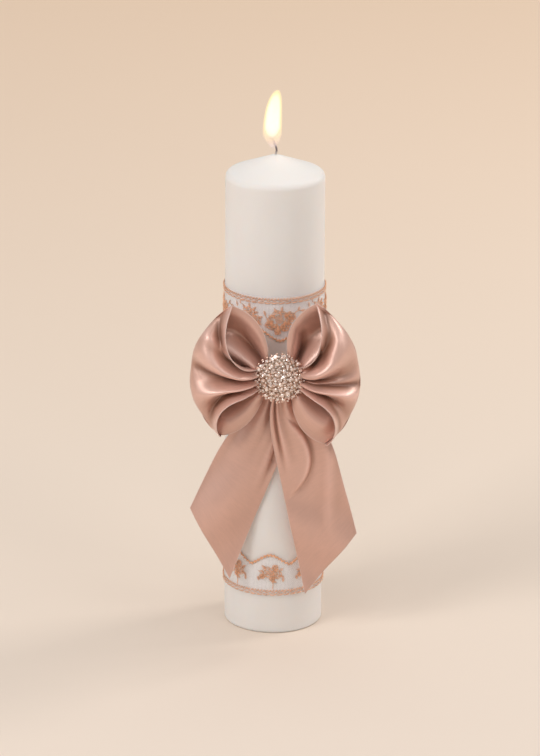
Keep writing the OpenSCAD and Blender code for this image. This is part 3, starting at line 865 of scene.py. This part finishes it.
def make_scallop_cord(name, node, height):
    """The scalloped edge: fat stitches that all lean the same way, over one thin thread."""
    lines = slanted_stitches(height, 2.05, 2.5, 42)
    lines += bed_thread(height, CORD_R - 0.35)
    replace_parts(thread_piece(name, lines, 0.37 * MM, THREAD, sides=2), node)


make_cords("top_lace_cords", "top_lace_border", *TOP_CORDS)
make_cords("bottom_lace_cords", "bottom_lace_border", LOW_CORDS[1], LOW_CORDS[0])
make_ladder("top_lace_rungs", "top_lace_ladder", TOP_CORDS[1] + 0.3, TOP_CORDS[0] - 0.3, 52)
make_ladder("bottom_lace_rungs", "bottom_lace_ladder", LOW_CORDS[0] + 0.3, LOW_CORDS[1] - 0.3, 52)
make_scallop_cord("top_lace_rope", "top_lace_scallop_cord", lambda angle: top_scallop(angle) + 0.3)
make_scallop_cord("bottom_lace_rope", "bottom_lace_scallop_cord", lambda angle: low_scallop(angle) - 0.3)

# %% [markdown]
# ## Roses and sprigs
# The motifs repeat round the candle, so each is drawn once and worked at every repeat. Roses are coils with
# petals of curved rows of thread; leaves and buds are short slanting stitches; stems are single lines. The
# tables below are drawings: each row places one rose or leaf, in millimetres and degrees.

# %% Work the flowers
TOP_Z, TOP_SIDE_Z, TOP_SIDE_TURN, LOW_Z = 204.4, 207.2, -35.5, 40.3


def roses(spot, rows):
    """Each row is (x, z, radius, first turn, petals)."""
    lines = []
    for x, z, *shape in rows:
        lines += rose(spot, (x, z), *shape)
    return lines


def leaves(spot, rows):
    """Each row is (x, z, direction, length, width)."""
    lines = []
    for x, z, *shape in rows:
        lines += leaf(spot, (x, z), *shape)
    return lines


def top_roses(angle):
    spot = (angle, TOP_Z)
    work = rose(spot, (0, 0), 5.6, 20)
    for direction, length in ((-62, 3.6), (-95, 4.0), (-128, 3.4), (-160, 3.0), (25, 3.0), (-20, 3.4),
                              (160, 2.6)):
        turn = math.radians(direction)
        work += leaf(spot, (4.9 * math.cos(turn) * 0.8, 4.9 * math.sin(turn)), direction, length, 2.4, 0.5)
    work += roses(spot, [(3.6, -4.8, 2.6, 50, 4), (-0.8, -7.6, 1.9, 10, 3), (7.4, 1.2, 2.7, 15, 4),
                         (-5.8, -3.4, 2.2, 35, 4)])
    side = (angle + TOP_SIDE_TURN, TOP_SIDE_Z)
    return work + roses(side, [(0, 0, 3.9, 0, 5), (5.0, -3.4, 2.7, 30, 4), (-4.2, -3.2, 2.0, 0, 3)])


def top_sprigs(angle):
    spot, side = (angle, TOP_Z), (angle + TOP_SIDE_TURN, TOP_SIDE_Z)
    work = leaves(spot, [(-8.9, 5.0, -75, 2.8, 1.1), (-7.0, -1.4, 70, 2.6, 1.3), (-6.6, -3.0, -160, 2.4, 1.2),
                         (4.6, 2.4, 40, 3.4, 1.8), (5.8, 0.2, 8, 3.6, 1.8), (5.0, -2.4, -28, 3.0, 1.6),
                         (1.4, 5.2, 75, 2.8, 1.4), (-2.0, 5.0, 110, 2.2, 1.2), (12.2, 4.9, 70, 2.0, 1.1),
                         (14.6, 4.4, -10, 2.2, 1.2)])
    work += stem(spot, [(-8.2, 2.6), (-7.2, 0.2), (-5.4, -2.0), (-4.6, -2.8)])
    work += stem(spot, [(8.4, 2.4), (10.6, 4.2), (12.6, 4.8), (14.6, 4.4)])
    work += leaves(side, [(-2.6, 2.6, 130, 2.7, 1.3), (0.4, 3.6, 85, 2.7, 1.3), (2.9, 2.3, 45, 2.7, 1.3),
                          (-3.6, -0.4, 175, 2.7, 1.3), (3.5, 0.6, 12, 2.7, 1.3), (-2.4, -2.8, 215, 2.7, 1.3),
                          (6.4, -2.4, 20, 2.7, 1.3), (6.0, -5.0, -35, 2.7, 1.3), (-8.8, 3.0, 100, 2.4, 1.1)])
    return work + stem(side, [(-5.6, 4.6), (-6.4, 6.0), (-6.0, 7.2), (-4.8, 7.0)])


def low_roses(angle):
    return roses((angle, LOW_Z), [(-1.3, 0.5, 3.4, 10, 5), (3.9, -0.6, 2.9, 40, 4), (3.2, 3.6, 1.8, 0, 3),
                                  (-4.8, -2.2, 1.6, 20, 3), (1.4, -3.8, 1.6, 60, 3)])


def low_sprigs(angle):
    spot = (angle, LOW_Z)
    work = leaves(spot, [(-4.6, 0.6, 170, 2.4, 1.3), (-4.0, -2.0, 215, 2.2, 1.3), (-3.4, 3.4, 140, 2.0, 1.3),
                         (6.0, 1.4, 35, 2.4, 1.3), (6.2, -1.8, -20, 2.4, 1.3), (1.8, -5.4, -25, 2.2, 1.3),
                         (-7.4, -3.0, -80, 2.0, 1.3), (8.2, -3.6, -95, 2.2, 1.3)])
    for points in ([(1.5, -3.4), (1.2, -5.6), (2.0, -7.4), (1.6, -10.6)],
                   [(-4.6, -2.6), (-6.4, -2.4), (-7.2, -3.0)], [(6.6, -2.2), (7.6, -2.4), (8.2, -3.6)]):
        work += stem(spot, points)
    return work


def worked(name, node, draw, angles):
    lines = []
    for angle in angles:
        lines += draw(angle)
    piece = thread_piece(name, lines, STITCH_R * MM, THREAD, sides=1)
    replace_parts(piece, node)
    print(name, len(lines), "stitches")


TOP_SPOTS = [TOP_PHASE - 1.7 + TOP_STEP * i for i in range(4)]
LOW_SPOTS = [LOW_PHASE + LOW_STEP * i for i in range(8)]
worked("top_lace_rose_work", "top_lace_roses", top_roses, TOP_SPOTS)
worked("top_lace_sprig_work", "top_lace_sprigs", top_sprigs, TOP_SPOTS)
worked("bottom_lace_rose_work", "bottom_lace_roses", low_roses, LOW_SPOTS)
worked("bottom_lace_sprig_work", "bottom_lace_sprigs", low_sprigs, LOW_SPOTS)

# %% [markdown]
# ## The brooch
# A domed cluster of small round stones, each a cut cone in a metal cup. Real stones are set by hand at
# slightly different angles, and that is where the sparkle comes from, so every stone is turned and tipped a
# little by a random amount with a fixed seed. Smaller stones fill the gaps; they have no cups and are there
# for the looks only.

# %% Brooch materials
def make_metal(name, colour, roughness, scale=300.0):
    material, tree, shader = new_material(name, Metallic=1.0, Roughness=roughness)
    mask = add_tone_and_grain(tree, shader, colour, (scale, 0.25), (1500.0, 0.25, 0.00006))
    rough = math_node(tree, "MULTIPLY_ADD", mask, 0.2, roughness - 0.1)
    tree.links.new(rough, shader.inputs["Roughness"])
    return material


def make_crystal():
    """Foil-backed paste, painted in random small cells from dark rose to near white as painted glints and
    reflection.
    """
    material, tree, shader = new_material("crystal", Roughness=0.05, Specular_IOR_Level=0.9, IOR=1.75,
                                          Coat_Weight=1.0, Coat_Roughness=0.03)
    place = object_place(tree)
    facets = new_node(tree, "ShaderNodeTexVoronoi", {"Vector": place, "Scale": 1300.0})
    # painted glints and painted reflection: random cells of near white and dark rose in the stones' colour
    painted_glints = ramp_node(tree, facets.outputs["Color"], [(0.0, (0.55, 0.36, 0.29)), (0.35, (0.90, 0.70, 0.61)),
                                                      (0.7, (1.0, 0.90, 0.85)), (1.0, (1.0, 0.98, 0.97))])
    tree.links.new(painted_glints, shader.inputs["Base Color"])
    metal = math_node(tree, "MULTIPLY_ADD", facets.outputs["Distance"], 0.4, 0.1)
    tree.links.new(metal, shader.inputs["Metallic"])
    return material


CHAMPAGNE = make_metal("champagne_metal", (0.95, 0.73, 0.62), 0.4)
CRYSTAL = make_crystal()

# %% Make the brooch
BROOCH_Z, BROOCH_RIM_Y, DOME_R, PLATE_R = 173.0, -46.5, 26.5, 13.0
STONE_D, SETTING_R = 2.3, 1.3
RING_COUNTS = (1, 6, 12, 18, 24)
STONE_TIP, FILLER_TIP = 28, 35
FILLERS, INNER_R = 190, 7.5
BEADS, BEAD_RING, BEAD_R = 30, 15.2, 0.66
GOLDEN_TURN = math.radians(137.5)
CLUSTER_R = 13.9
RING_STEP = (CLUSTER_R - 1.35) / 4
DOME_Y = BROOCH_RIM_Y + math.sqrt(DOME_R ** 2 - PLATE_R ** 2)


def dome_place(radius, angle, out=0.0):
    """A turn and move that stands a thing on the dome with its own +Z pointing out of it."""
    tilt = math.asin(radius / DOME_R)
    outward = Vector((math.sin(tilt) * math.cos(angle), -math.cos(tilt), math.sin(tilt) * math.sin(angle)))
    centre = Vector((BOW_X, DOME_Y, BROOCH_Z)) + outward * (DOME_R + out)
    turn = outward.to_track_quat("Z", "Y").to_matrix().to_4x4()
    return Matrix.Translation(centre * MM) @ turn


def tipped(place, most):
    """The same place leaned at random about both of its level axes, by up to most degrees each."""
    for axis in "XY":
        place = place @ Matrix.Rotation(math.radians(random.uniform(-most, most)), 4, axis)
    return place


def add_stone(bm, place, radius):
    """An eight-sided brilliant: a table, a crown and a cone below it."""
    r = radius * MM
    turned = Matrix.Rotation(math.pi / 8, 4, "Z")
    table = bmesh.ops.create_circle(bm, cap_ends=True, segments=8, radius=0.58 * r,
                                    matrix=place @ Matrix.Translation((0, 0, 0.36 * r)))["verts"]
    girdle = bmesh.ops.create_circle(bm, segments=8, radius=r, matrix=place @ turned)["verts"]
    bmesh.ops.bridge_loops(bm, edges=list({e for v in (*table, *girdle) for e in v.link_edges}))
    bmesh.ops.create_cone(bm, cap_ends=False, segments=8, radius1=0, radius2=r, depth=0.75 * r,
                          matrix=place @ Matrix.Translation((0, 0, -0.375 * r)) @ turned)


def add_cup(bm, place, radius):
    """The metal setting: an open collar and four small claws bent over the stone's edge."""
    r = radius * MM
    bmesh.ops.create_cone(bm, cap_ends=True, segments=12, radius1=0.8 * r, radius2=r, depth=0.8 * r,
                          matrix=place @ Matrix.Translation((0, 0, -0.42 * r)))
    for i in range(4):
        angle = math.pi / 2 * i + math.pi / 4
        claw = place @ Matrix.Rotation(angle, 4, "Z") @ Matrix.Translation((0.93 * r, 0, 0.12 * r))
        bmesh.ops.create_uvsphere(bm, u_segments=6, v_segments=4, radius=0.2 * r, matrix=claw)


def set_stones(stones, cups):
    """The stones in their cups, in rings; the outermost ring is uneven."""
    for ring, count in enumerate(RING_COUNTS):
        kind = "centre" if ring == 0 else "inner" if ring < 3 else "outer"
        for i in range(count):
            radius = RING_STEP * ring + (random.uniform(-0.28, 0.28) if ring else 0)
            angle = 2 * math.pi * (i / count + 0.13 * ring) + random.uniform(-0.06, 0.06)
            if ring == len(RING_COUNTS) - 1:
                radius += random.uniform(-0.2, 1.1)
            place = tipped(dome_place(radius, angle, 1.1 + random.uniform(-0.4, 0.8)), STONE_TIP)
            place = place @ Matrix.Rotation(random.uniform(0, 0.8), 4, "Z")
            add_cup(cups, place, SETTING_R)
            add_stone(stones[kind], place @ Matrix.Translation((0, 0, 0.00012)),
                      STONE_D / 2 * random.uniform(0.95, 1.12))


def fill_gaps(stones):
    """Small stones spread evenly by the golden angle, as seeds are in a sunflower."""
    for i in range(FILLERS):
        radius = (CLUSTER_R + 0.3) * math.sqrt((i + 0.5) / FILLERS)
        place = tipped(dome_place(radius, i * GOLDEN_TURN, 1.5 + random.uniform(-0.6, 0.7)), FILLER_TIP)
        add_stone(stones["inner" if radius < INNER_R else "outer"], place, random.uniform(0.6, 0.9))


def add_beads(bm):
    for i in range(BEADS):
        angle = 2 * math.pi * i / BEADS
        out = BEAD_RING + random.uniform(-0.5, 0.8)
        spot = Vector((BOW_X + out * math.cos(angle), BROOCH_RIM_Y + random.uniform(-0.9, 0.3),
                       BROOCH_Z + out * math.sin(angle))) * MM
        bmesh.ops.create_icosphere(bm, subdivisions=2, radius=BEAD_R * MM, matrix=Matrix.Translation(spot))


def make_brooch():
    stones = {"centre": bmesh.new(), "inner": bmesh.new(), "outer": bmesh.new()}
    cups, beads = bmesh.new(), bmesh.new()
    set_stones(stones, cups)
    fill_gaps(stones)
    add_beads(beads)
    for kind, bm in stones.items():
        node = "brooch_stone_centre" if kind == "centre" else "brooch_stones_" + kind
        mesh = mesh_from(bm, kind, smooth=False)
        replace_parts(finish_piece("brooch_" + kind + "_cut", mesh, CRYSTAL), node)
    for name, mesh, node in (("brooch_cups", mesh_from(cups, "cups", smooth=False), "brooch_settings"),
                             ("brooch_beading", mesh_from(beads, "beads"), "brooch_rim_beads")):
        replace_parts(finish_piece(name, mesh, CHAMPAGNE), node)


make_brooch()
print("brooch", sum(RING_COUNTS), "stones in cups and", FILLERS, "fillers")

# %% [markdown]
# ## Wax, wick and flame
# Wax is lit from inside: light goes in, scatters and comes out softly nearby, which subsurface scattering
# stands for. The wick is braided cotton, pale where wax soaks it and black where it burns. A flame isn't a
# surface at all, so it is built as two nests of thin glowing shells: amber gas outside and a whiter core
# inside it. Each shell is partly clear, and where many overlap the flame is bright, so its middle glows and
# its edge fades by itself.

# %% Wax and small-part materials
WAX_COLOUR = (0.85, 0.825, 0.805)


def make_wax():
    material, tree, shader = new_material(
        "wax", Roughness=0.42, Subsurface_Weight=0.6, Subsurface_Scale=0.006, Specular_IOR_Level=0.35,
        IOR=1.44)
    shader.inputs["Subsurface Radius"].default_value = (1.0, 0.82, 0.72)
    mask = add_tone_and_grain(tree, shader, WAX_COLOUR, (25.0, 0.05), (260.0, 0.12, 0.0002))
    tree.links.new(math_node(tree, "MULTIPLY_ADD", mask, 0.25, 0.32), shader.inputs["Roughness"])
    return material


def make_wick_cotton():
    """Cotton that is pale with wax low down, charred in the middle and ashen at its tip."""
    material, tree, shader = new_material("wick_cotton", Roughness=0.85)
    place = object_place(tree)
    height = new_node(tree, "ShaderNodeSeparateXYZ", {0: place}).outputs["Z"]
    burnt = new_node(tree, "ShaderNodeMapRange", {"Value": height, "From Min": PILLAR_TOP - 0.001,
                                                  "From Max": PILLAR_TOP + 0.0062})
    colour = ramp_node(tree, burnt.outputs[0], [(0.0, (0.78, 0.75, 0.73)), (0.25, (0.55, 0.50, 0.47)),
                                                (0.5, (0.24, 0.19, 0.18)), (0.8, (0.32, 0.27, 0.28)),
                                                (1.0, (0.55, 0.48, 0.52))])
    add_tone_and_grain(tree, shader, colour, (1500.0, 0.5), (2500.0, 0.6, 0.0002), place)
    return material


def make_plain(name, colour, roughness, scale=200.0, **more):
    material, tree, shader = new_material(name, Roughness=roughness, **more)
    add_tone_and_grain(tree, shader, colour, (scale, 0.2), (scale * 6, 0.3, 0.0001))
    return material


WAX = make_wax()
NODE_MATERIALS = {
    "pillar": WAX,
    "wick_clip": make_metal("clip_steel", (0.6, 0.6, 0.6), 0.35),
    "top_lace_tape": make_plain("tape", (0.82, 0.80, 0.77), 0.5),
    "bow_gather_thread": make_thread("gather_thread", (0.55, 0.34, 0.27), 0.0, 0.5),
    "bow_glue_pad": make_plain("glue", (0.85, 0.80, 0.68), 0.25, Transmission_Weight=0.4),
    "brooch_shank": CHAMPAGNE,
    # painted shade: a darker copy of the champagne metal, for the plate lying in shade between the stones
    "brooch_plate": make_metal("plate_metal", (0.62, 0.47, 0.37), 0.45),
}
NODE_MATERIALS["bottom_lace_tape"] = NODE_MATERIALS["top_lace_tape"]
for node_name, material in NODE_MATERIALS.items():
    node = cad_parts[node_name]
    if not node.material_slots:
        node.data.materials.append(material)
    for node_slot in node.material_slots:
        node_slot.material = material
print("materials on", len(NODE_MATERIALS), "CAD nodes")

# %% Make the wick
WICK_OUT = 8.4


def wick_path(k):
    """The middle of the wick; k is 0 in the wax and 1 at the hooked tip."""
    bend = 1.2 * math.sin(math.radians(200 * k)) * (1 - k) - 1.1 * k * k if k > 0 else 0
    return Vector((bend, 0, PILLAR_TOP / MM + WICK_OUT * k))


def make_wick():
    lines = []
    for strand in range(3):
        line = []
        for i in range(61):
            k = mix(-0.35, 1, i / 60)
            turn = 2 * math.pi * (2.6 * k + strand / 3)
            spread = 0.34 * (1 - 0.35 * max(0, k) ** 3)
            line.append((wick_path(k) + Vector((spread * math.cos(turn), spread * math.sin(turn), 0))) * MM)
        lines.append(line)
    piece = thread_piece("wick_braid", lines, 0.34 * MM, make_wick_cotton(), sides=2)
    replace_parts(piece, "wick")


make_wick()
print("wick", WICK_OUT, "mm out of the wax")

# %% Make the flame
FLAME_LOW, FLAME_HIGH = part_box("flame")
FLAME_BASE = FLAME_LOW[2] / MM
FLAME_TALL = (FLAME_HIGH[2] - FLAME_LOW[2]) / MM
FLAME_WIDE = 11.6
GAS_SHELLS, CORE_SHELLS = 4, 5


def make_flame_material(name, glow, colours, body):
    """Clear gas that glows; colours and body give its tint and how solid it looks, from base to tip."""
    material, tree, shader = new_material(name, Roughness=1.0, Specular_IOR_Level=0.0)
    shader.inputs["Base Color"].default_value = (0, 0, 0, 1)
    shader.inputs["Emission Strength"].default_value = glow
    place = object_place(tree)
    height = new_node(tree, "ShaderNodeSeparateXYZ", {0: place}).outputs["Z"]
    share = new_node(tree, "ShaderNodeMapRange", {"Value": height, "From Min": FLAME_LOW[2],
                                                  "From Max": FLAME_HIGH[2]})
    colour = ramp_node(tree, share.outputs[0], colours)
    tone = use_group(tree, UNEVEN_TONE, Colour=colour, Place=place, Scale=60.0, Amount=0.1)
    tree.links.new(tone.outputs["Colour"], shader.inputs["Emission Color"])
    solid = ramp_node(tree, share.outputs[0], [(k, (amount, amount, amount)) for k, amount in body])
    tree.links.new(solid, shader.inputs["Alpha"])
    return material


def flame_middle(k):
    """Centre line: it stands left of the wick and bends back to the right at the tip."""
    return Vector((-1.5 - 0.6 * smooth_step(0, 0.25, k) + 3.1 * k ** 3, 0, FLAME_BASE + FLAME_TALL * k))


def flame_half(k):
    return FLAME_WIDE / 2 * min(1, (k / 0.24) ** 0.55) * math.sqrt(max(0, 1 - k ** 3.2))


def flame_shell(bm, scale, base, tip):
    """One closed skin from base to tip, both shares of the flame's height; scale narrows it."""
    ball = bmesh.ops.create_uvsphere(bm, u_segments=32, v_segments=40, radius=1.0)["verts"]
    for vert in ball:
        share = (1 + max(-1, min(1, vert.co.z))) / 2
        flat = Vector((vert.co.x, vert.co.y, 0))
        if flat.length > 1e-6:
            flat.normalize()
        width = scale * flame_half(min(1, max(0, share)))
        vert.co = (flame_middle(mix(base, tip, share)) + flat * width) * MM


def make_flame():
    gas, core = bmesh.new(), bmesh.new()
    for shell in range(GAS_SHELLS):
        flame_shell(gas, 1 - 0.07 * shell, 0.012 * shell, 1 - 0.02 * shell)
    for shell in range(CORE_SHELLS):
        flame_shell(core, 0.76 - 0.11 * shell, 0.15 + 0.025 * shell, 0.93 - 0.03 * shell)
    gas_look = make_flame_material(
        "flame_gas", 1.25,
        [(0.0, (0.80, 0.66, 0.72)), (0.12, (1.0, 0.74, 0.56)), (0.35, (1.0, 0.80, 0.46)),
         (1.0, (1.0, 0.82, 0.45))],
        [(0.0, 0.05), (0.15, 0.11), (0.4, 0.28), (0.9, 0.34), (1.0, 0.3)])
    core_look = make_flame_material(
        "flame_core", 2.6,
        [(0.0, (0.9, 0.74, 0.6)), (0.4, (1.0, 0.95, 0.9)), (1.0, (1.0, 0.93, 0.78))],
        [(0.15, 0.02), (0.4, 0.3), (0.75, 0.42), (1.0, 0.25)])
    piece = finish_piece("flame_gas", mesh_from(gas, "flame_gas"), gas_look)
    inner = finish_piece("flame_core", mesh_from(core, "flame_core"), core_look)
    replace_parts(piece, "flame")
    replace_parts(inner, "flame")


make_flame()
print("flame", round(FLAME_TALL), "mm tall,", GAS_SHELLS + CORE_SHELLS, "shells")

# %% [markdown]
# ## The floor, the room and the lights
# One big pale floor fills the picture. Seven soft square lamps stand round the candle. The key from the left
# in front and the rim from the right behind are the strongest of the small ones, so the candle has two
# faint shadows, and a wide one overhead softens them. The room itself glows, and a tiny point light stands
# for the light of the flame.

# %% Set the stage
def make_floor():
    bm = bmesh.new()
    bmesh.ops.create_grid(bm, x_segments=1, y_segments=1, size=30.0)
    mesh = mesh_from(bm, "floor", smooth=False)
    floor = bpy.data.objects.new("floor", mesh)
    bpy.context.collection.objects.link(floor)
    material, tree, shader = new_material("floor_paper", Roughness=0.9, Specular_IOR_Level=0.1)
    place = object_place(tree)
    # painted light: the floor's colour turns lighter and more orange towards the back, for how the light
    # falls there
    back = new_node(tree, "ShaderNodeSeparateXYZ", {0: place}).outputs["Y"]
    share = new_node(tree, "ShaderNodeMapRange", {"Value": back, "From Min": -0.5, "From Max": 1.6})
    shade = ramp_node(tree, share.outputs[0], [(0.0, (0.80, 0.695, 0.61)), (0.35, (0.83, 0.71, 0.605)),
                                               (1.0, (1.0, 0.77, 0.58))])
    add_tone_and_grain(tree, shader, shade, (1.5, 0.03), (400.0, 0.03, 0.0005), place)
    mesh.materials.append(material)


def make_room(colour, low, high, front):
    """Room light, stronger overhead than at eye level, and weaker from in front by the share front."""
    world = bpy.data.worlds.new("room")
    world.use_nodes = True
    tree = world.node_tree
    way = new_node(tree, "ShaderNodeTexCoord").outputs["Generated"]
    parts = new_node(tree, "ShaderNodeSeparateXYZ", {0: way}).outputs
    glow = new_node(tree, "ShaderNodeMapRange", {"Value": parts["Z"], "From Min": 0.0, "From Max": 0.75,
                                                 "To Min": low, "To Max": high}).outputs[0]
    dim = new_node(tree, "ShaderNodeMapRange", {"Value": parts["Y"], "From Min": -0.9, "From Max": -0.2,
                                                "To Min": front, "To Max": 1.0}).outputs[0]
    background = tree.nodes["Background"]
    background.inputs["Color"].default_value = (*colour, 1)
    tree.links.new(math_node(tree, "MULTIPLY", glow, dim), background.inputs["Strength"])
    bpy.context.scene.world = world


def add_lamp(name, round_turn, elevation, away, size, power, colour, aim=0.15):
    """A square soft light; round_turn is its compass angle from +X, and aim the height it points at."""
    data = bpy.data.lights.new(name, "AREA")
    data.size, data.energy, data.color = size, power, colour
    lamp = bpy.data.objects.new(name, data)
    a, e = math.radians(round_turn), math.radians(elevation)
    out = Vector((math.cos(a) * math.cos(e), math.sin(a) * math.cos(e), math.sin(e)))
    lamp.matrix_world = (Matrix.Translation(Vector((0, 0, aim)) + out * away)
                         @ out.to_track_quat("Z", "Y").to_matrix().to_4x4())
    lamp.visible_camera = False
    bpy.context.collection.objects.link(lamp)


make_floor()
make_room((1.0, 0.985, 0.965), 0.36, 0.49, 0.5)
add_lamp("ceiling", 90, 62, 3.2, 4.0, 18.5, (1.0, 0.985, 0.97), aim=0.4)
add_lamp("front", -95, 48, 2.6, 1.0, 7.5, (1.0, 0.985, 0.97))
add_lamp("key", -137.5, 39, 2.2, 0.7, 12.6, (1.0, 0.97, 0.94))
add_lamp("left_side", -154, 24, 2.4, 1.0, 6.0, (1.0, 0.985, 0.98))
add_lamp("right_side", -8, 24, 2.4, 0.8, 4.5, (1.0, 0.97, 0.95))
add_lamp("right_front", -44, 38, 2.4, 0.8, 5.0, (1.0, 0.98, 0.96))
add_lamp("rim", 25, 35, 2.2, 0.6, 12.6, (1.0, 0.96, 0.92))
glow = bpy.data.lights.new("flame_glow", "POINT")
glow.energy, glow.color, glow.shadow_soft_size = 0.005, (1.0, 0.75, 0.45), 0.006
glow_lamp = bpy.data.objects.new("flame_glow", glow)
glow_lamp.matrix_world = Matrix.Translation(Vector((0, 0, PILLAR_TOP + 0.02)))
bpy.context.collection.objects.link(glow_lamp)
print("lights placed")
